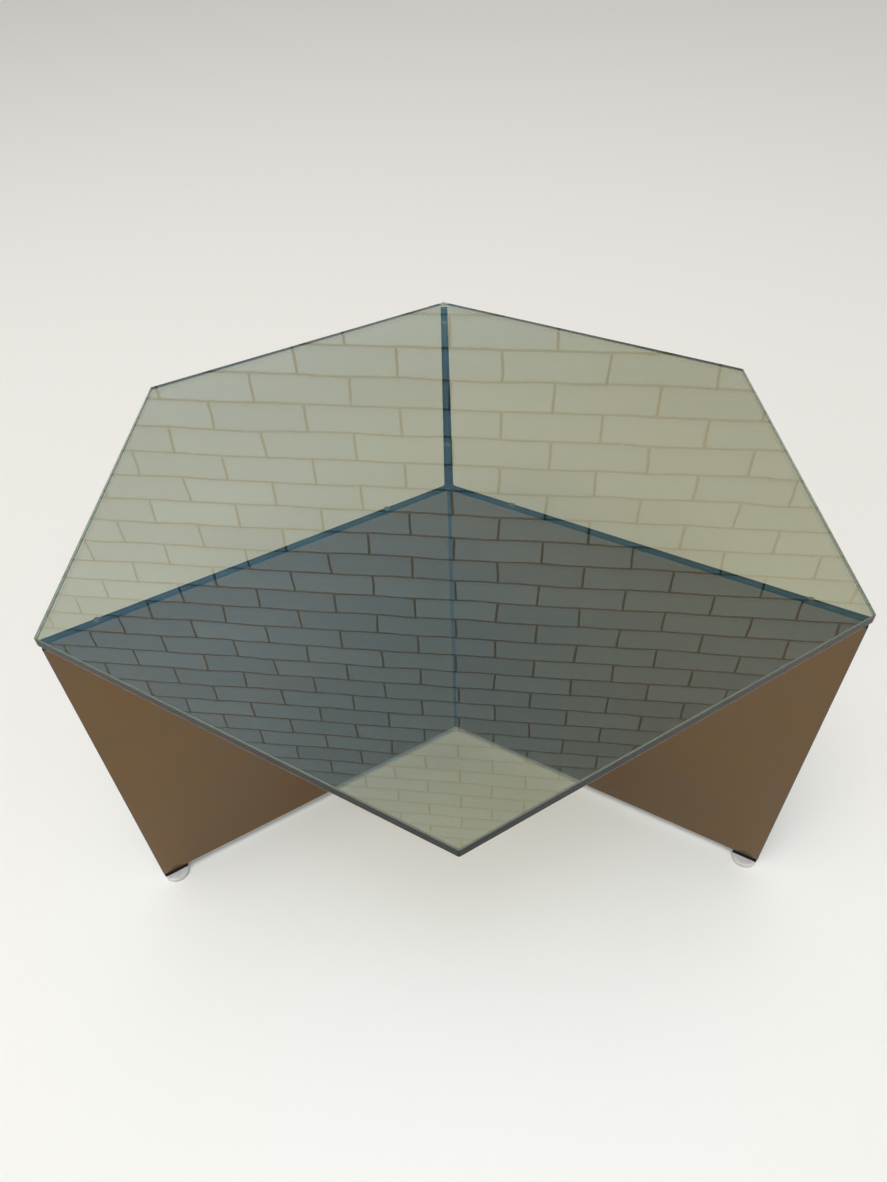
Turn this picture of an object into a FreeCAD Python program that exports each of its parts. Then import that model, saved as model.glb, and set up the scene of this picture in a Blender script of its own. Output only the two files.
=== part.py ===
"""Hexagonal glass coffee table on a base of three mirrored fins.

Frame: millimetres, +Z up. The origin is on the floor, under the middle of the top. One corner
of the top points along +Y, and the back fin stands under it. The left and right fins stand at
120 degrees to it. Each fin is a sandwich of two mirror panels on an aluminium core sheet.
"""
import FreeCAD, Part
import Sketcher
import os

DOC = FreeCAD.newDocument("mirror_fin_table")
UP = FreeCAD.Vector(0, 0, 1)

# ---------------------------------------------------------------- driving dimensions, mm
DIMENSIONS = [
    ("top_reach", 400.0, "middle of the top to a corner"),
    ("top_thickness", 10.0, "glass"),
    ("top_corner_round", 1.5, "each corner of the glass is dubbed"),
    ("top_arris", 1.0, "chamfer along every edge of the glass"),
    ("fin_reach", 398.0, "axis of the base to the outer end of a fin"),
    ("fin_rise", 388.0, "height of a fin"),
    ("mirror_thickness", 3.0, "silvered glass"),
    ("mirror_arris", 0.5, "chamfer round the outer face of a mirror"),
    ("core_thickness", 3.0, "aluminium sheet in a fin"),
    ("spine_reach", 30.0, "axis of the base to the end of a web of the spine"),
    ("seam_width", 3.0, "sealant strip where two mirrors meet"),
    ("bumper_diameter", 6.0, "clear bumper under the glass"),
    ("bumper_rise", 3.0, "gap between a fin and the glass"),
    ("bumper_round", 0.8, "rounded upper rim of a bumper"),
    ("bumper_inner_reach", 70.0, "axis of the base to an inner bumper"),
    ("bumper_outer_reach", 350.0, "axis of the base to an outer bumper"),
    ("pad_length", 27.0, "rubber pad, along the fin"),
    ("pad_rise", 6.0, "rubber pad"),
    ("glide_diameter", 28.0, "round foot"),
    ("glide_rise", 7.0, "round foot"),
    ("glide_round", 2.0, "rounded rims of a foot"),
]

SHEET = DOC.addObject("Spreadsheet::Sheet", "Sizes")
for row, (alias, millimetres, meaning) in enumerate(DIMENSIONS, start=1):
    SHEET.set(f"A{row}", meaning)
    SHEET.set(f"B{row}", str(millimetres))
    SHEET.setAlias(f"B{row}", alias)
DOC.recompute()

# Sizes that follow from the driving ones, as expressions on the sheet.
HALF_CORE = "(Sizes.core_thickness / 2)"
HALF_FIN = "(Sizes.core_thickness / 2 + Sizes.mirror_thickness)"
MIRROR_START = f"((Sizes.seam_width / 2 + {HALF_FIN} * cos(60 deg)) / sin(60 deg))"
FIN_BOTTOM = "(Sizes.glide_rise + Sizes.pad_rise)"
FIN_TOP = f"({FIN_BOTTOM} + Sizes.fin_rise)"
TOP_BOTTOM = f"({FIN_TOP} + Sizes.bumper_rise)"
GLIDE_REACH = "(Sizes.fin_reach - Sizes.glide_diameter / 2)"

# Each fin: the direction that it runs in, in degrees from +X, and the names of its two faces,
# the one on its counter-clockwise side first.
FINS = {
    "back": (90.0, ("left", "right")),
    "left": (210.0, ("front", "rear")),
    "right": (330.0, ("rear", "front")),
}

# Each bay between two fins: the direction of its middle.
BAYS = {"front": 270.0, "left": 150.0, "right": 30.0}

BODIES = []


# ---------------------------------------------------------------- helpers
def size_of(expression):
    """The value of an expression on the sheet, in millimetres."""
    found = SHEET.evalExpression(expression)
    return float(getattr(found, "Value", found))


def make_body(node, level="0", turn=0.0):
    """A body named after its node, raised to a level and turned about the axis of the base."""
    body = DOC.addObject("PartDesign::Body", node)
    body.Label = node
    body.Placement = FreeCAD.Placement(FreeCAD.Vector(0, 0, 0), FreeCAD.Rotation(UP, turn))
    body.setExpression("Placement.Base.z", level)
    BODIES.append(body)
    return body


def ground_sketch(body):
    """A sketch on the XY plane of its body."""
    sketch = body.newObject("Sketcher::SketchObject", f"{body.Name}_sketch")
    plane = next(item for item in body.Origin.OriginFeatures if item.Role == "XY_Plane")
    sketch.AttachmentSupport = [(plane, "")]
    sketch.MapMode = "FlatFace"
    return sketch


def hold_point(sketch, kind, line, expression):
    """Hold the first point of a line at a distance from the origin, along X or along Y."""
    distance = size_of(expression)
    if distance < 0:
        ends = (line, 1, -1, 1)
        expression = f"-({expression})"
    else:
        ends = (-1, 1, line, 1)
    constraint = Sketcher.Constraint(kind, *ends, abs(distance))
    number = sketch.addConstraint(constraint)
    sketch.setExpression(f"Constraints[{number}]", expression)


def draw_outline(body, corners):
    """A closed outline of straight lines, with every corner held by a pair of expressions."""
    sketch = ground_sketch(body)
    points = [FreeCAD.Vector(size_of(along), size_of(across), 0) for along, across in corners]
    count = len(points)
    for number in range(count):
        line = Part.LineSegment(points[number], points[(number + 1) % count])
        sketch.addGeometry(line, False)
    for number in range(count):
        following = (number + 1) % count
        sketch.addConstraint(Sketcher.Constraint("Coincident", number, 2, following, 1))
    for number, (along, across) in enumerate(corners):
        hold_point(sketch, "DistanceX", number, along)
        hold_point(sketch, "DistanceY", number, across)
    return sketch


def draw_strip(body, start, stop, low, high):
    """A rectangle from start to stop along X, and from low to high along Y."""
    return draw_outline(body, [(start, low), (stop, low), (stop, high), (start, high)])


def draw_disc(body, reach, diameter):
    """A circle whose middle is on the X axis, at a reach from the origin."""
    sketch = ground_sketch(body)
    middle = FreeCAD.Vector(size_of(reach), 0, 0)
    sketch.addGeometry(Part.Circle(middle, UP, size_of(diameter) / 2), False)
    sketch.addConstraint(Sketcher.Constraint("PointOnObject", 0, 3, -1))
    place = sketch.addConstraint(Sketcher.Constraint("DistanceX", -1, 1, 0, 3, size_of(reach)))
    sketch.setExpression(f"Constraints[{place}]", reach)
    width = sketch.addConstraint(Sketcher.Constraint("Diameter", 0, size_of(diameter)))
    sketch.setExpression(f"Constraints[{width}]", diameter)
    return sketch


def pad_up(body, sketch, rise):
    """Pad a sketch upwards and recompute, so that its edges and faces can be read."""
    pad = body.newObject("PartDesign::Pad", f"{body.Name}_pad")
    pad.Profile = sketch
    pad.setExpression("Length", rise)
    sketch.Visibility = False
    DOC.recompute()
    return pad


def faces_facing(feature, direction):
    """The names of the flat faces whose outward normal is a direction."""
    names = []
    for number, face in enumerate(feature.Shape.Faces, start=1):
        if face.normalAt(0, 0).dot(direction) > 0.999:
            names.append(f"Face{number}")
    return names


def dress(body, kind, base, names, size_property, expression):
    """A Fillet or a Chamfer on the named edges, or on every edge of the named faces."""
    feature = body.newObject(f"PartDesign::{kind}", f"{body.Name}_{kind.lower()}")
    feature.Base = (base, names)
    feature.setExpression(size_property, expression)
    DOC.recompute()
    return feature


# ---------------------------------------------------------------- pieces
def make_glass_top():
    """The hexagon of float glass: dubbed corners and a small chamfer along every edge."""
    body = make_body("glass_top", TOP_BOTTOM)
    corners = []
    for step in range(6):
        along = f"Sizes.top_reach * cos({30 + 60 * step} deg)"
        across = f"Sizes.top_reach * sin({30 + 60 * step} deg)"
        corners.append((along, across))
    pad = pad_up(body, draw_outline(body, corners), "Sizes.top_thickness")
    upright = []
    for number, edge in enumerate(pad.Shape.Edges, start=1):
        if abs(edge.tangentAt(edge.FirstParameter).z) > 0.999:
            upright.append(f"Edge{number}")
    rounded = dress(body, "Fillet", pad, upright, "Radius", "Sizes.top_corner_round")
    flat_faces = faces_facing(rounded, UP) + faces_facing(rounded, -UP)
    dress(body, "Chamfer", rounded, flat_faces, "Size", "Sizes.top_arris")


def make_mirror(node, turn, side):
    """A mirror panel, on the counter-clockwise side of its fin (1) or on the other (-1)."""
    body = make_body(node, FIN_BOTTOM, turn)
    if side > 0:
        low, high = HALF_CORE, HALF_FIN
    else:
        low, high = f"-{HALF_FIN}", f"-{HALF_CORE}"
    sketch = draw_strip(body, MIRROR_START, "Sizes.fin_reach", low, high)
    pad = pad_up(body, sketch, "Sizes.fin_rise")
    outer_face = faces_facing(pad, FreeCAD.Vector(0, side, 0))
    dress(body, "Chamfer", pad, outer_face, "Size", "Sizes.mirror_arris")


def make_fin(name, turn, face_names):
    """One fin: its core sheet and the mirror on each side of it."""
    core = make_body(f"{name}_fin_core", FIN_BOTTOM, turn)
    strip = draw_strip(core, "Sizes.spine_reach", "Sizes.fin_reach", f"-{HALF_CORE}", HALF_CORE)
    pad_up(core, strip, "Sizes.fin_rise")
    for side, face_name in zip((1, -1), face_names):
        make_mirror(f"{name}_fin_mirror_{face_name}", turn, side)


def make_centre_spine():
    """The Y section on the axis, whose three webs carry the cores at 120 degrees."""
    body = make_body("centre_spine", FIN_BOTTOM, FINS["back"][0])
    web_sketch = draw_strip(body, "0", "Sizes.spine_reach", f"-{HALF_CORE}", HALF_CORE)
    web = pad_up(body, web_sketch, "Sizes.fin_rise")
    webs = body.newObject("PartDesign::PolarPattern", "centre_spine_webs")
    webs.Originals = [web]
    webs.Axis = (web_sketch, ["N_Axis"])
    webs.Angle = 360
    webs.Occurrences = len(FINS)
    body.Tip = webs
    DOC.recompute()


def make_corner_seam(name, turn):
    """The sealant between two mirrors: it fills the corner and shows a flat strip."""
    body = make_body(f"{name}_corner_seam", FIN_BOTTOM, turn)
    inner_along = f"({MIRROR_START} * cos(60 deg) + {HALF_CORE} * sin(60 deg))"
    inner_across = f"({MIRROR_START} * sin(60 deg) - {HALF_CORE} * cos(60 deg))"
    outer_along = f"({MIRROR_START} * cos(60 deg) + {HALF_FIN} * sin(60 deg))"
    corners = [
        (f"{HALF_CORE} / sin(60 deg)", "0"),
        (inner_along, f"-{inner_across}"),
        (outer_along, "-Sizes.seam_width / 2"),
        (outer_along, "Sizes.seam_width / 2"),
        (inner_along, inner_across),
    ]
    pad_up(body, draw_outline(body, corners), "Sizes.fin_rise")


def make_foot(name, turn):
    """The rubber pad under the outer end of a fin, and the round glide under the pad."""
    rubber = make_body(f"{name}_foot_pad", "Sizes.glide_rise", turn)
    start = f"({GLIDE_REACH} - Sizes.pad_length / 2)"
    stop = f"({GLIDE_REACH} + Sizes.pad_length / 2)"
    pad_up(rubber, draw_strip(rubber, start, stop, f"-{HALF_FIN}", HALF_FIN), "Sizes.pad_rise")
    glide = make_body(f"{name}_glide", "0", turn)
    disc_sketch = draw_disc(glide, GLIDE_REACH, "Sizes.glide_diameter")
    disc = pad_up(glide, disc_sketch, "Sizes.glide_rise")
    flat_faces = faces_facing(disc, UP) + faces_facing(disc, -UP)
    dress(glide, "Fillet", disc, flat_faces, "Radius", "Sizes.glide_round")


def make_bumper(name, turn, place):
    """A clear bumper on the top edge of a fin, with a rounded upper rim."""
    body = make_body(f"{name}_fin_bumper_{place}", FIN_TOP, turn)
    sketch = draw_disc(body, f"Sizes.bumper_{place}_reach", "Sizes.bumper_diameter")
    disc = pad_up(body, sketch, "Sizes.bumper_rise")
    dress(body, "Fillet", disc, faces_facing(disc, UP), "Radius", "Sizes.bumper_round")


# ---------------------------------------------------------------- the table
make_glass_top()
make_centre_spine()
for fin_name, (fin_turn, fin_faces) in FINS.items():
    make_fin(fin_name, fin_turn, fin_faces)
    make_foot(fin_name, fin_turn)
    for bumper_place in ("inner", "outer"):
        make_bumper(fin_name, fin_turn, bumper_place)
for bay_name, bay_turn in BAYS.items():
    make_corner_seam(bay_name, bay_turn)
DOC.recompute()


# ---------------------------------------------------------------- check and export
def check_document():
    """Stop if an object failed to recompute, or if a sub-part has no valid single solid."""
    for item in DOC.Objects:
        if "Invalid" in item.State or "Error" in item.State:
            raise RuntimeError(f"{item.Name} did not recompute: {item.State}")
    for body in BODIES:
        if body.Shape.isNull() or not body.Shape.isValid():
            raise RuntimeError(f"{body.Label} has no valid shape")
        if len(body.Shape.Solids) != 1:
            raise RuntimeError(f"{body.Label} is not one solid")


check_document()
os.makedirs("parts", exist_ok=True)
for body in BODIES:
    body.Shape.exportStep(f"parts/{body.Label}.step")
    box = body.Shape.BoundBox
    print(
        f"{body.Label:26s} {body.Shape.Volume / 1000:9.2f} cm3"
        f"  x {box.XMin:8.2f} {box.XMax:8.2f}  y {box.YMin:8.2f} {box.YMax:8.2f}"
        f"  z {box.ZMin:7.2f} {box.ZMax:7.2f}"
    )
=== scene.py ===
import math

import bmesh
import bpy
from mathutils import Matrix, Vector


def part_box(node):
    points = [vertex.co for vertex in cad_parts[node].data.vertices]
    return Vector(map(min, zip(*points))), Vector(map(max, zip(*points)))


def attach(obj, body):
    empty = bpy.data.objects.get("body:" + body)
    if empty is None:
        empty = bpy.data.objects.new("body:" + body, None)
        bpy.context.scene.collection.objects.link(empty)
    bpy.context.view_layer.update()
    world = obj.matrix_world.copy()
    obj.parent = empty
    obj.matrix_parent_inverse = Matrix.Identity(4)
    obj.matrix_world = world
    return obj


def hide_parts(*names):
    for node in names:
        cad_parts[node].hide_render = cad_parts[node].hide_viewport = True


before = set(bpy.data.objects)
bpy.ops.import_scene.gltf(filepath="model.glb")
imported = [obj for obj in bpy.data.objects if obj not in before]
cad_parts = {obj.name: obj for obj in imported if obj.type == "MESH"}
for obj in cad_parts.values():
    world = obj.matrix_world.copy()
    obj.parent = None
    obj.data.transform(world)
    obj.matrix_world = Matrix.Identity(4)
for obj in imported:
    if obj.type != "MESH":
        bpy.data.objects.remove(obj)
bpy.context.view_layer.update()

# ---------------------------------------------------------------- sizes, from the frame, metres
MM = 0.001
TOP_LOW, TOP_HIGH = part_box("glass_top")
TOP_REACH = TOP_HIGH.x / math.cos(math.radians(30))
SEAM_LOW, SEAM_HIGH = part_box("front_corner_seam")
MIRROR_LOW, MIRROR_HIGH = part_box("back_fin_mirror_right")
PAD_LOW, PAD_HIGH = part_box("back_foot_pad")
GLIDE_LOW, GLIDE_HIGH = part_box("back_glide")
TOP_ARRIS = 1.0 * MM
TOP_CORNER_ROUND = 1.5 * MM
MIRROR_ARRIS = 0.5 * MM
SEAM_HALF_WIDTH = 1.5 * MM
SEAM_HOLLOW = 0.45 * MM
PAD_ROUND = 0.5 * MM
GLIDE_RIM = 2.0 * MM
BUMPER_CHAMFER = 0.2 * MM
BUMPER_RIM = 0.8 * MM

# Each fin, by its turn from the back fin, with the names of its two faces: first the one that
# is on the right of the back fin when that fin is seen from the front, then the other.
FINS = {
    "back": (0, ("right", "left")),
    "left": (120, ("rear", "front")),
    "right": (240, ("front", "rear")),
}

# Each bay, by its turn from the front one.
BAYS = {"front": 0, "right": 120, "left": 240}


# ---------------------------------------------------------------- node helpers
class Nodes:
    """The node tree of one material or world, with short calls to add to it."""

    def __init__(self, owner):
        owner.use_nodes = True
        self.tree = owner.node_tree
        self.tree.nodes.clear()

    def add(self, kind, **settings):
        """A node, with its settings and with its unlinked sockets given by name or number."""
        node = self.tree.nodes.new(kind)
        sockets = settings.pop("sockets", {})
        for name, value in settings.items():
            setattr(node, name, value)
        for name, value in sockets.items():
            node.inputs[name].default_value = value
        return node

    def link(self, source, target):
        self.tree.links.new(source, target)

    def place(self, stretch=(1, 1, 1)):
        """Coordinates in metres along the object's own axes, stretched along each axis."""
        coords = self.add("ShaderNodeTexCoord")
        mapping = self.add("ShaderNodeMapping", sockets={"Scale": stretch})
        self.link(coords.outputs["Object"], mapping.inputs["Vector"])
        return mapping.outputs["Vector"]

    def noise(self, place, scale, detail=3.0, roughness=0.5):
        """Noise from 0 to 1 over a place."""
        settings = {"Scale": scale, "Detail": detail, "Roughness": roughness}
        node = self.add("ShaderNodeTexNoise", sockets=settings)
        self.link(place, node.inputs["Vector"])
        return node.outputs[0]

    def spread(self, value, low, high, source_low=0.3, source_high=0.7):
        """A value mapped from its source range to low and high."""
        limits = {
            "From Min": source_low,
            "From Max": source_high,
            "To Min": low,
            "To Max": high,
        }
        node = self.add("ShaderNodeMapRange", sockets=limits)
        self.link(value, node.inputs["Value"])
        return node.outputs["Result"]

    def product(self, values):
        """Several values multiplied together."""
        result = values[0]
        for value in values[1:]:
            node = self.add("ShaderNodeMath", operation="MULTIPLY")
            self.link(result, node.inputs[0])
            self.link(value, node.inputs[1])
            result = node.outputs[0]
        return result

    def blend_colours(self, value, first, second):
        """A colour between two others."""
        node = self.add("ShaderNodeMix", data_type="RGBA")
        self.link(value, node.inputs[0])
        node.inputs[6].default_value = (*first, 1)
        node.inputs[7].default_value = (*second, 1)
        return node.outputs[2]

    def clear_to_shadows(self, shader, tint):
        """A see-through shader that lets light through to what lies in its shadow, tinted."""
        through = self.add("ShaderNodeBsdfTransparent", sockets={"Color": tint})
        rays = self.add("ShaderNodeLightPath")
        either = self.add("ShaderNodeMixShader")
        self.link(rays.outputs["Is Shadow Ray"], either.inputs[0])
        self.link(shader.outputs[0], either.inputs[1])
        self.link(through.outputs[0], either.inputs[2])
        return either.outputs[0]

    def bump(self, height, strength, distance):
        """A normal from a height."""
        settings = {"Strength": strength, "Distance": distance}
        node = self.add("ShaderNodeBump", sockets=settings)
        self.link(height, node.inputs["Height"])
        return node.outputs["Normal"]


def new_material(name):
    material = bpy.data.materials.new(name)
    return material, Nodes(material)


def finish_material(nodes, shader, volume=None):
    output = nodes.add("ShaderNodeOutputMaterial")
    nodes.link(shader, output.inputs["Surface"])
    if volume is not None:
        nodes.link(volume, output.inputs["Volume"])


# ---------------------------------------------------------------- materials
GLASS_TINT = (0.56, 0.51, 0.37, 1)
GLASS_SHADOW = (0.97, 0.98, 0.97, 1)
GLASS_DEPTH_TINT = (0.68, 0.60, 0.44, 1)
GLASS_DENSITY = 22.0


def make_glass_material():
    """Tinted float glass: a faint wave in its surface, faint smears, and a dark deep edge."""
    material, nodes = new_material("top_glass")
    glass = nodes.add(
        "ShaderNodeBsdfPrincipled",
        sockets={"Base Color": GLASS_TINT, "Transmission Weight": 1.0, "IOR": 1.52},
    )
    smears = nodes.noise(nodes.place((1, 2.5, 1)), 9.0, detail=5.0)
    nodes.link(nodes.spread(smears, 0.0, 0.006), glass.inputs["Roughness"])
    waves = nodes.noise(nodes.place(), 5.0, detail=1.0)
    nodes.link(nodes.bump(waves, 0.03, 0.002), glass.inputs["Normal"])
    shader = nodes.clear_to_shadows(glass, GLASS_SHADOW)
    depth = nodes.add(
        "ShaderNodeVolumeAbsorption",
        sockets={"Color": GLASS_DEPTH_TINT, "Density": GLASS_DENSITY},
    )
    finish_material(nodes, shader, depth.outputs[0])
    return material


def make_arris_material(name, darker, paler):
    """The narrow bevel along an edge of the top: ground glass, with a fine grain between the two
    colours given, which paint shade on the upper arris and light on the lower one.
    """
    material, nodes = new_material(name)
    ground = nodes.add("ShaderNodeBsdfPrincipled", sockets={"IOR": 1.52})
    grain = nodes.noise(nodes.place((900, 900, 900)), 2.0)
    nodes.link(nodes.blend_colours(grain, darker, paler), ground.inputs["Base Color"])
    nodes.link(nodes.spread(grain, 0.28, 0.42), ground.inputs["Roughness"])
    finish_material(nodes, ground.outputs[0])
    return material


def make_mirror_material():
    """Dark bronze mirror under clear glass: its tint is partly painted reflection of a brown wooden
    floor, and its slow colour patches are painted reflection of floorboards; with faint waves and
    smears.
    """
    material, nodes = new_material("bronze_mirror_and_painted_floor_reflection")
    mirror = nodes.add(
        "ShaderNodeBsdfPrincipled",
        sockets={"Metallic": 1.0, "Coat Weight": 1.0, "Coat Roughness": 0.0, "Coat IOR": 1.5},
    )
    # Painted reflection: the slow patches between two browns stand in for floorboards seen in the
    # mirror, and the dark brown itself partly stands in for a reflected brown floor.
    painted_board_reflection = nodes.noise(nodes.place(), 3.0, detail=2.0)
    colour = nodes.blend_colours(painted_board_reflection, (0.190, 0.132, 0.078), (0.175, 0.121, 0.072))
    nodes.link(colour, mirror.inputs["Base Color"])
    smears = nodes.noise(nodes.place((1, 1, 3)), 7.0, detail=6.0)
    nodes.link(nodes.spread(smears, 0.008, 0.03), mirror.inputs["Roughness"])
    waves = nodes.noise(nodes.place(), 6.0, detail=1.0)
    nodes.link(nodes.bump(waves, 0.04, 0.002), mirror.inputs["Normal"])
    finish_material(nodes, mirror.outputs[0])
    return material


def make_mirror_edge_material():
    """The ground edge of a mirror panel: a blue-black that is painted shade, for an edge the silver
    keeps light out of.
    """
    material, nodes = new_material("mirror_edge_painted_shade")
    edge = nodes.add("ShaderNodeBsdfPrincipled", sockets={"Specular IOR Level": 0.12})
    grain = nodes.noise(nodes.place((40, 40, 900)), 6.0)
    # Painted shade: the near-black colour stands in for the shade on the panel's edge, with a fine
    # grain.
    colour = nodes.blend_colours(grain, (0.003, 0.004, 0.008), (0.006, 0.009, 0.016))
    nodes.link(colour, edge.inputs["Base Color"])
    nodes.link(nodes.spread(grain, 0.4, 0.6), edge.inputs["Roughness"])
    finish_material(nodes, edge.outputs[0])
    return material


def make_mirror_arris_material():
    """The seamed corner of a mirror panel, where the clear glass in front of the silver shows."""
    material, nodes = new_material("mirror_arris")
    edge = nodes.add("ShaderNodeBsdfPrincipled", sockets={"Coat Weight": 0.5, "Coat IOR": 1.5})
    grain = nodes.noise(nodes.place((40, 40, 900)), 6.0)
    colour = nodes.blend_colours(grain, (0.02, 0.06, 0.13), (0.05, 0.12, 0.22))
    nodes.link(colour, edge.inputs["Base Color"])
    nodes.link(nodes.spread(grain, 0.2, 0.35), edge.inputs["Roughness"])
    finish_material(nodes, edge.outputs[0])
    return material


def make_sheet_metal_material():
    """Mill-finish aluminium with fine rolling lines, seen on the edges of the cores."""
    material, nodes = new_material("core_aluminium")
    metal = nodes.add("ShaderNodeBsdfPrincipled", sockets={"Metallic": 1.0})
    lines = nodes.noise(nodes.place((60, 60, 1500)), 5.0, detail=4.0)
    colour = nodes.blend_colours(lines, (0.035, 0.040, 0.055), (0.06, 0.066, 0.085))
    nodes.link(colour, metal.inputs["Base Color"])
    nodes.link(nodes.spread(lines, 0.4, 0.55), metal.inputs["Roughness"])
    nodes.link(nodes.bump(lines, 0.15, 0.0003), metal.inputs["Normal"])
    finish_material(nodes, metal.outputs[0])
    return material


def make_spine_material():
    """Black anodised aluminium, matte."""
    material, nodes = new_material("black_anodised")
    metal = nodes.add("ShaderNodeBsdfPrincipled", sockets={"Specular IOR Level": 0.2})
    lines = nodes.noise(nodes.place((300, 300, 8)), 4.0, detail=4.0)
    colour = nodes.blend_colours(lines, (0.004, 0.004, 0.006), (0.009, 0.009, 0.012))
    nodes.link(colour, metal.inputs["Base Color"])
    nodes.link(nodes.spread(lines, 0.5, 0.65), metal.inputs["Roughness"])
    finish_material(nodes, metal.outputs[0])
    return material


def make_sealant_material():
    """Dark blue-black sealant, smoothed with a tool."""
    material, nodes = new_material("dark_sealant")
    bead = nodes.add(
        "ShaderNodeBsdfPrincipled",
        sockets={"Coat Weight": 0.3, "Coat Roughness": 0.2, "Coat IOR": 1.45},
    )
    strokes = nodes.noise(nodes.place((300, 300, 12)), 5.0, detail=4.0)
    colour = nodes.blend_colours(strokes, (0.005, 0.011, 0.028), (0.010, 0.020, 0.046))
    nodes.link(colour, bead.inputs["Base Color"])
    nodes.link(nodes.spread(strokes, 0.28, 0.45), bead.inputs["Roughness"])
    nodes.link(nodes.bump(strokes, 0.2, 0.0003), bead.inputs["Normal"])
    finish_material(nodes, bead.outputs[0])
    return material


def make_rubber_material():
    """Matte black rubber with a fine grain."""
    material, nodes = new_material("black_rubber")
    rubber = nodes.add("ShaderNodeBsdfPrincipled")
    grain = nodes.noise(nodes.place(), 1400.0, detail=2.0)
    colour = nodes.blend_colours(grain, (0.008, 0.008, 0.009), (0.02, 0.02, 0.022))
    nodes.link(colour, rubber.inputs["Base Color"])
    nodes.link(nodes.spread(grain, 0.55, 0.75), rubber.inputs["Roughness"])
    nodes.link(nodes.bump(grain, 0.25, 0.0002), rubber.inputs["Normal"])
    finish_material(nodes, rubber.outputs[0])
    return material


def make_glide_material():
    """Light grey waxy plastic, with a little light passing into it and scuffs low down."""
    material, nodes = new_material("glide_plastic")
    plastic = nodes.add(
        "ShaderNodeBsdfPrincipled",
        sockets={"Subsurface Weight": 0.25, "Subsurface Radius": (0.004, 0.004, 0.004)},
    )
    clouds = nodes.noise(nodes.place(), 160.0, detail=5.0)
    colour = nodes.blend_colours(clouds, (0.55, 0.53, 0.52), (0.70, 0.685, 0.675))
    nodes.link(colour, plastic.inputs["Base Color"])
    nodes.link(nodes.spread(clouds, 0.28, 0.5), plastic.inputs["Roughness"])
    scuffs = nodes.noise(nodes.place((1, 1, 5)), 700.0, detail=3.0)
    nodes.link(nodes.bump(scuffs, 0.12, 0.0003), plastic.inputs["Normal"])
    finish_material(nodes, plastic.outputs[0])
    return material


def make_bumper_material():
    """Clear soft plastic, very slightly cloudy."""
    material, nodes = new_material("clear_bumper")
    plastic = nodes.add(
        "ShaderNodeBsdfPrincipled",
        sockets={"Base Color": (0.93, 0.95, 0.96, 1), "Transmission Weight": 0.9, "IOR": 1.45},
    )
    clouds = nodes.noise(nodes.place(), 500.0)
    nodes.link(nodes.spread(clouds, 0.03, 0.1), plastic.inputs["Roughness"])
    finish_material(nodes, nodes.clear_to_shadows(plastic, (0.9, 0.92, 0.93, 1)))
    return material


# ---------------------------------------------------------------- mesh helpers
def add_piece(name, mesh_maker, materials, body, node, turn=0.0):
    """A piece of the object from a bmesh, turned about the axis of the base, riding on a body."""
    shape = mesh_maker()
    bmesh.ops.recalc_face_normals(shape, faces=shape.faces)
    bmesh.ops.rotate(
        shape, verts=shape.verts, cent=(0, 0, 0), matrix=Matrix.Rotation(math.radians(turn), 3, "Z")
    )
    mesh = bpy.data.meshes.new(name)
    shape.to_mesh(mesh)
    shape.free()
    for material in materials:
        mesh.materials.append(material)
    piece = bpy.data.objects.new(name, mesh)
    bpy.context.scene.collection.objects.link(piece)
    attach(piece, body)
    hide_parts(node)
    return piece


def make_rings(rings):
    """A closed solid through rings of points, all with the same count, with a cap on each end.

    Returns the bmesh, the bands of side faces, one list for each gap, and the two caps.
    """
    shape = bmesh.new()
    rows = [[shape.verts.new(point) for point in ring] for ring in rings]
    count = len(rows[0])
    bands = []
    for lower, upper in zip(rows, rows[1:]):
        band = []
        for number in range(count):
            after = (number + 1) % count
            corners = (lower[number], lower[after], upper[after], upper[number])
            band.append(shape.faces.new(corners))
        bands.append(band)
    caps = [shape.faces.new(list(reversed(rows[0]))), shape.faces.new(rows[-1])]
    return shape, bands, caps


def hexagon_ring(reach, round_size, level, inset=0.0, steps=4):
    """The outline of the top at a level: a hexagon with rounded corners, moved in by an inset."""
    reach = reach - inset / math.cos(math.radians(30))
    radius = max(round_size - inset, 0.2 * MM)
    middle_reach = reach - radius / math.cos(math.radians(30))
    ring = []
    for corner in range(6):
        bearing = math.radians(30 + 60 * corner)
        middle = Vector((math.cos(bearing), math.sin(bearing), 0)) * middle_reach
        for step in range(steps + 1):
            angle = bearing + math.radians(-30 + 60 * step / steps)
            reached = middle + Vector((math.cos(angle), math.sin(angle), 0)) * radius
            ring.append(Vector((reached.x, reached.y, level)))
    return ring


# ---------------------------------------------------------------- pieces
def glass_top_shape():
    """The top: polished faces and edge, with a narrow rounded arris along each edge."""
    arris_steps = 3
    lower = []
    upper = []
    for step in range(arris_steps + 1):
        angle = math.radians(90 * step / arris_steps)
        inset = TOP_ARRIS * (1 - math.sin(angle))
        rise = TOP_ARRIS * (1 - math.cos(angle))
        lower.append(hexagon_ring(TOP_REACH, TOP_CORNER_ROUND, TOP_LOW.z + rise, inset))
        upper.insert(0, hexagon_ring(TOP_REACH, TOP_CORNER_ROUND, TOP_HIGH.z - rise, inset))
    shape, bands, _ = make_rings(lower + upper)
    for index, arris_bands in ((2, bands[:arris_steps]), (1, bands[-arris_steps:])):
        for band in arris_bands:
            for face in band:
                face.material_index = index
    return shape


def strip_ring(low, high, level):
    """A rectangle at a level, between two corners seen from above."""
    return [
        Vector((low[0], low[1], level)),
        Vector((high[0], low[1], level)),
        Vector((high[0], high[1], level)),
        Vector((low[0], high[1], level)),
    ]


def block_shape(low, high, bevel, segments):
    """A box between two corners, with all its edges rounded."""
    shape, _, _ = make_rings([strip_ring(low, high, low.z), strip_ring(low, high, high.z)])
    bmesh.ops.bevel(
        shape, geom=list(shape.edges), offset=bevel, segments=segments, profile=0.5, affect="EDGES"
    )
    return shape


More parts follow.
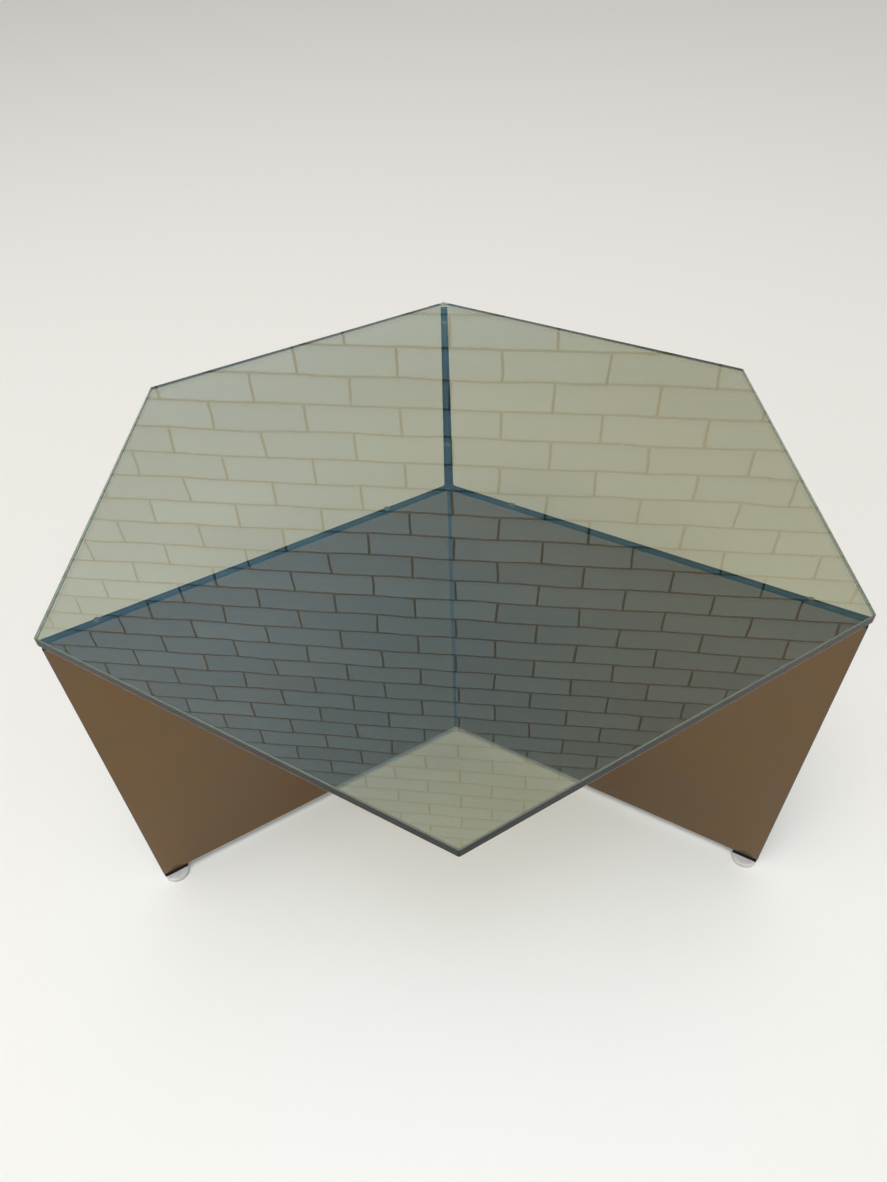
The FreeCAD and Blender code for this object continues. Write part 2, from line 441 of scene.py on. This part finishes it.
def mirror_shape(side):
    """A mirror panel on the right (1) or left (-1) of the back fin, with seamed edges."""
    inner, outer = side * MIRROR_LOW.x, side * MIRROR_HIGH.x
    near, far = MIRROR_LOW.y, MIRROR_HIGH.y
    low, high = MIRROR_LOW.z, MIRROR_HIGH.z

    def ring(across, inset):
        return [
            Vector((across, near + inset, low + inset)),
            Vector((across, far - inset, low + inset)),
            Vector((across, far - inset, high - inset)),
            Vector((across, near + inset, high - inset)),
        ]

    rings = [
        ring(inner, 0.0),
        ring(outer - side * MIRROR_ARRIS, 0.0),
        ring(outer - side * MIRROR_ARRIS * 0.3, MIRROR_ARRIS * 0.3),
        ring(outer, MIRROR_ARRIS),
    ]
    shape, bands, caps = make_rings(rings)
    for face in shape.faces:
        face.material_index = 1
    for band in bands[1:]:
        for face in band:
            face.material_index = 2
    caps[1].material_index = 0
    return shape


def seam_shape():
    """The sealant in the front corner: its shown face is tooled slightly hollow."""
    outer, inner = SEAM_LOW.y, SEAM_HIGH.y
    shoulder = SEAM_HIGH.x
    shoulder_along = outer + (shoulder - SEAM_HALF_WIDTH) / math.tan(math.radians(30))
    outline = [(0, inner), (-shoulder, shoulder_along)]
    steps = 6
    for step in range(steps + 1):
        share = step / steps
        across = -SEAM_HALF_WIDTH + 2 * SEAM_HALF_WIDTH * share
        outline.append((across, outer + SEAM_HOLLOW * 4 * share * (1 - share)))
    outline.append((shoulder, shoulder_along))
    rings = []
    for level in (MIRROR_LOW.z, MIRROR_HIGH.z):
        rings.append([Vector((across, along, level)) for across, along in outline])
    shape, _, _ = make_rings(rings)
    return shape


def lathe_shape(centre, profile, steps=64):
    """A round solid about an upright line, from a profile of radius and level."""
    rings = []
    for radius, level in profile:
        ring = []
        for step in range(steps):
            angle = 2 * math.pi * step / steps
            ring.append(
                Vector(
                    (
                        centre.x + radius * math.cos(angle),
                        centre.y + radius * math.sin(angle),
                        level,
                    )
                )
            )
        rings.append(ring)
    shape, bands, _ = make_rings(rings)
    for band in bands:
        for face in band:
            face.smooth = True
    return shape


def round_rim(radius, level, size, start, stop, steps=5):
    """Points of a profile round a rim, from one angle to another, in degrees from outward."""
    points = []
    for step in range(steps + 1):
        angle = math.radians(start + (stop - start) * step / steps)
        points.append((radius - size + size * math.cos(angle), level + size * math.sin(angle)))
    return points


def glide_shape():
    """A round foot with a straight side and rounded rims."""
    radius = (GLIDE_HIGH.x - GLIDE_LOW.x) / 2
    profile = round_rim(radius, GLIDE_LOW.z + GLIDE_RIM, GLIDE_RIM, -90, 0)
    profile += round_rim(radius, GLIDE_HIGH.z - GLIDE_RIM, GLIDE_RIM, 0, 90)
    return lathe_shape((GLIDE_LOW + GLIDE_HIGH) / 2, profile)


def bumper_shape(node):
    """A clear bumper: a straight foot and a rounded shoulder up to its flat top."""
    low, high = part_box(node)
    radius = (high.x - low.x) / 2
    profile = [(radius - BUMPER_CHAMFER, low.z), (radius, low.z + BUMPER_CHAMFER)]
    profile += round_rim(radius, high.z - BUMPER_RIM, BUMPER_RIM, 0, 90)
    return lathe_shape((low + high) / 2, profile, steps=40)


# ---------------------------------------------------------------- build
GLASS = make_glass_material()
# Painted shade and painted light: the same ground glass is dark on the upper arris, as shade, and
# pale on the lower arris, as light.
SHADED_UPPER_ARRIS = make_arris_material("top_upper_arris_painted_shade", (0.13, 0.15, 0.12), (0.19, 0.21, 0.17))
LIT_LOWER_ARRIS = make_arris_material("top_lower_arris_painted_light", (0.62, 0.66, 0.56), (0.74, 0.78, 0.68))
MIRROR = make_mirror_material()
SHADED_MIRROR_EDGE = make_mirror_edge_material()
MIRROR_SEAM = make_mirror_arris_material()
SHEET_METAL = make_sheet_metal_material()
SPINE_METAL = make_spine_material()
SEALANT = make_sealant_material()
RUBBER = make_rubber_material()
GLIDE = make_glide_material()
BUMPER = make_bumper_material()


def dress_cad_node(node, material):
    """A CAD node that is shown as it is, with a better material."""
    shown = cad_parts[node]
    shown.data.materials.clear()
    shown.data.materials.append(material)


add_piece(
    "top_pane", glass_top_shape, [GLASS, SHADED_UPPER_ARRIS, LIT_LOWER_ARRIS], "top", "glass_top"
)
dress_cad_node("centre_spine", SPINE_METAL)
for fin, (turn, faces) in FINS.items():
    dress_cad_node(f"{fin}_fin_core", SHEET_METAL)
    for side, face in zip((1, -1), faces):
        add_piece(
            f"{fin}_mirror_{face}_panel",
            lambda: mirror_shape(side),
            [MIRROR, SHADED_MIRROR_EDGE, MIRROR_SEAM],
            "base",
            f"{fin}_fin_mirror_{face}",
            turn,
        )
    add_piece(
        f"{fin}_pad_block",
        lambda: block_shape(PAD_LOW, PAD_HIGH, PAD_ROUND, segments=2),
        [RUBBER],
        "base",
        f"{fin}_foot_pad",
        turn,
    )
    add_piece(
        f"{fin}_glide_disc", glide_shape, [GLIDE], "base", f"{fin}_glide", turn
    )
    for place in ("inner", "outer"):
        node = f"{fin}_fin_bumper_{place}"
        add_piece(
            f"{fin}_bumper_{place}", lambda: bumper_shape(node), [BUMPER], "base", node
        )
for bay, turn in BAYS.items():
    add_piece(
        f"{bay}_seam_bead",
        seam_shape,
        [SEALANT],
        "base",
        f"{bay}_corner_seam",
        turn,
    )


# ---------------------------------------------------------------- stage
def add_stage(name, corners):
    """A flat four-cornered thing that isn't part of the object."""
    mesh = bpy.data.meshes.new(name)
    mesh.from_pydata(corners, [], [(0, 1, 2, 3)])
    thing = bpy.data.objects.new(name, mesh)
    bpy.context.scene.collection.objects.link(thing)
    return thing


FLOOR_HALF = 30.0
FLOOR_COLOUR = (0.80, 0.785, 0.755, 1)


def make_floor():
    """A plain pale floor, matte, so that it looks the same from every side."""
    corners = [
        (-FLOOR_HALF, -FLOOR_HALF, 0),
        (FLOOR_HALF, -FLOOR_HALF, 0),
        (FLOOR_HALF, FLOOR_HALF, 0),
        (-FLOOR_HALF, FLOOR_HALF, 0),
    ]
    floor = add_stage("floor", corners)
    material, nodes = new_material("pale_floor")
    paint = nodes.add(
        "ShaderNodeBsdfPrincipled",
        sockets={"Base Color": FLOOR_COLOUR, "Roughness": 1.0, "Specular IOR Level": 0.0},
    )
    finish_material(nodes, paint.outputs[0])
    floor.data.materials.append(material)


# What the glass reflects: a card of painted bricks that stands beyond the table, out of the
# camera's sight. It belongs to the stage, and so do the cooler and brighter parts of the world.
CARD_DISTANCE = 0.984
CARD_TURN = 7.1
CARD_LOW, CARD_HIGH = 0.22, 2.8
CARD_LEFT, CARD_RIGHT = -1.7, 1.3
COURSE = 0.077
BRICK = 0.232
FIRST_BED = 0.840
FIRST_JOINT = -0.462
JOINT_HALF = 0.0042
JOINT_SHADE = (0.28, 0.33, 0.33)
SWAY_ALONG, SWAY_UP = 0.024, 0.016
CARD_SIDE_FADE, CARD_LOW_FADE, CARD_HIGH_FADE = 0.3, 0.12, 0.2


def make_brick_card():
    """Bricks that dim what is mirrored behind them at their joints, and fade out at the edges.

    Only mirrored and transmitted rays meet it. Its own axes are x along the wall and y up from
    the table top.
    """
    corners = [
        (CARD_LEFT, CARD_LOW, 0),
        (CARD_RIGHT, CARD_LOW, 0),
        (CARD_RIGHT, CARD_HIGH, 0),
        (CARD_LEFT, CARD_HIGH, 0),
    ]
    card = add_stage("brick_card", corners)
    turn = Matrix.Rotation(math.radians(-CARD_TURN), 4, "Z")
    upright = Matrix.Rotation(math.radians(90), 4, "X")
    place = turn @ Vector((0, CARD_DISTANCE, 0)) + Vector((0, 0, TOP_HIGH.z))
    card.matrix_world = Matrix.Translation(place) @ turn @ upright
    for kind in ("camera", "diffuse", "shadow", "volume_scatter"):
        setattr(card, f"visible_{kind}", False)

    material, nodes = new_material("brick_card")
    here = nodes.place()
    drift = nodes.add("ShaderNodeTexNoise", sockets={"Scale": 5.0, "Detail": 2.0})
    nodes.link(here, drift.inputs["Vector"])
    sway = nodes.add("ShaderNodeVectorMath", operation="MULTIPLY_ADD")
    nodes.link(drift.outputs["Color"], sway.inputs[0])
    sway.inputs[1].default_value = (SWAY_ALONG, SWAY_UP, 0.0)
    sway.inputs[2].default_value = (
        -FIRST_JOINT - BRICK / 2 - SWAY_ALONG / 2,
        -FIRST_BED - SWAY_UP / 2,
        0.0,
    )
    laid = nodes.add("ShaderNodeVectorMath", operation="ADD")
    nodes.link(here, laid.inputs[0])
    nodes.link(sway.outputs[0], laid.inputs[1])
    bricks = nodes.add(
        "ShaderNodeTexBrick",
        sockets={
            "Color1": (1, 1, 1, 1),
            "Color2": (0.88, 0.9, 0.93, 1),
            "Mortar": (*JOINT_SHADE, 1),
            "Scale": 1.0,
            "Mortar Size": JOINT_HALF,
            "Mortar Smooth": 0.5,
            "Brick Width": BRICK,
            "Row Height": COURSE,
        },
    )
    nodes.link(laid.outputs[0], bricks.inputs["Vector"])

    axes = nodes.add("ShaderNodeSeparateXYZ")
    nodes.link(here, axes.inputs[0])
    fades = [
        nodes.spread(axes.outputs[0], 0.0, 1.0, CARD_LEFT, CARD_LEFT + CARD_SIDE_FADE),
        nodes.spread(axes.outputs[0], 1.0, 0.0, CARD_RIGHT - CARD_SIDE_FADE, CARD_RIGHT),
        nodes.spread(axes.outputs[1], 0.0, 1.0, CARD_LOW, CARD_LOW + CARD_LOW_FADE),
        nodes.spread(axes.outputs[1], 1.0, 0.0, CARD_HIGH - CARD_HIGH_FADE, CARD_HIGH),
    ]
    shown = nodes.add("ShaderNodeMix", data_type="RGBA")
    nodes.link(nodes.product(fades), shown.inputs[0])
    shown.inputs[6].default_value = (1, 1, 1, 1)
    nodes.link(bricks.outputs["Color"], shown.inputs[7])
    film = nodes.add("ShaderNodeBsdfTransparent")
    nodes.link(shown.outputs[2], film.inputs["Color"])
    finish_material(nodes, film.outputs[0])
    card.data.materials.append(material)


# Mirrored and transmitted rays find the world cooler and brighter in one patch: toward positive
# y and high up. Each range is of a direction's part along an axis, and runs from none to full.
SOFT_LIGHT = 0.50
MIRRORED_LEFT = (0.97, 1.64, 2.18)
MIRRORED_RIGHT = (0.82, 1.27, 1.46)
LEFT_TO_RIGHT = (-0.25, 0.25)
BEHIND_RANGE = (0.20, 0.42)
HIGH_RANGE = (0.26, 0.40)
BRIGHTER_RANGE = (0.5, 0.7)
LOWER_STRENGTH = 0.6


def make_world():
    """Soft white light from all round, with the patch for mirrored and transmitted rays."""
    world = bpy.data.worlds.new("studio")
    bpy.context.scene.world = world
    nodes = Nodes(world)
    soft = nodes.add(
        "ShaderNodeBackground", sockets={"Color": (1, 1, 1, 1), "Strength": SOFT_LIGHT}
    )
    coords = nodes.add("ShaderNodeTexCoord")
    axes = nodes.add("ShaderNodeSeparateXYZ")
    nodes.link(coords.outputs["Generated"], axes.inputs[0])
    across = nodes.spread(axes.outputs[0], 0.0, 1.0, *LEFT_TO_RIGHT)
    colour = nodes.blend_colours(across, MIRRORED_LEFT, MIRRORED_RIGHT)
    cool = nodes.add("ShaderNodeBackground")
    nodes.link(colour, cool.inputs["Color"])
    strength = nodes.spread(axes.outputs[2], LOWER_STRENGTH, 1.0, *BRIGHTER_RANGE)
    nodes.link(strength, cool.inputs["Strength"])
    rays = nodes.add("ShaderNodeLightPath")
    bent = nodes.add("ShaderNodeMath", operation="MAXIMUM")
    nodes.link(rays.outputs["Is Glossy Ray"], bent.inputs[0])
    nodes.link(rays.outputs["Is Transmission Ray"], bent.inputs[1])
    behind = nodes.spread(axes.outputs[1], 0.0, 1.0, *BEHIND_RANGE)
    high = nodes.spread(axes.outputs[2], 0.0, 1.0, *HIGH_RANGE)
    either = nodes.add("ShaderNodeMixShader")
    nodes.link(nodes.product([bent.outputs[0], behind, high]), either.inputs[0])
    nodes.link(soft.outputs[0], either.inputs[1])
    nodes.link(cool.outputs[0], either.inputs[2])
    output = nodes.add("ShaderNodeOutputWorld")
    nodes.link(either.outputs[0], output.inputs["Surface"])


def make_softbox(name, place, aim, size, power, colour, spread=180):
    """An area light that faces a point, with its spread in degrees. It isn't mirrored."""
    lamp = bpy.data.lights.new(name, "AREA")
    lamp.shape = "RECTANGLE"
    lamp.size, lamp.size_y = size
    lamp.energy = power
    lamp.color = colour
    lamp.spread = math.radians(spread)
    softbox = bpy.data.objects.new(name, lamp)
    softbox.location = place
    softbox.rotation_euler = (Vector(aim) - Vector(place)).to_track_quat("-Z", "Y").to_euler()
    softbox.visible_glossy = False
    softbox.visible_transmission = False
    bpy.context.scene.collection.objects.link(softbox)


# The camera, in units of the top's reach from the middle of the top's upper face.
CAMERA_PLACE = Vector((0.0008, -1.6738, 1.2356))
CAMERA_HEADING = 0.83
CAMERA_TILT = 45.99
CAMERA_ROLL = -2.20
CAMERA_LENS = 25.26


def make_camera():
    """A camera that looks down on the table from the front."""
    lens = bpy.data.cameras.new("camera")
    lens.sensor_width = 36.0
    lens.lens = CAMERA_LENS
    lens.clip_start = 0.01
    camera = bpy.data.objects.new("camera", lens)
    place = CAMERA_PLACE * TOP_REACH + Vector((0, 0, TOP_HIGH.z))
    heading = Matrix.Rotation(math.radians(CAMERA_HEADING), 4, "Z")
    tilt = Matrix.Rotation(math.radians(CAMERA_TILT), 4, "X")
    roll = Matrix.Rotation(math.radians(CAMERA_ROLL), 4, "Z")
    camera.matrix_world = Matrix.Translation(place) @ heading @ tilt @ roll
    bpy.context.scene.collection.objects.link(camera)
    bpy.context.scene.camera = camera


make_floor()
make_brick_card()
make_world()
make_softbox(
    "key",
    place=(-0.9, -1.5, 5.0),
    aim=(0, 0.2, 0),
    size=(3.0, 3.0),
    power=95.0,
    colour=(1.0, 0.99, 0.97),
)
make_softbox(
    "pool",
    place=(0, -1.0, 2.2),
    aim=(0, -0.2, 0),
    size=(0.5, 0.5),
    power=0.45,
    colour=(0.70, 0.84, 1.0),
    spread=40,
)
make_camera()
bpy.context.scene.view_settings.view_transform = "Standard"
bpy.context.scene.view_settings.look = "High Contrast"
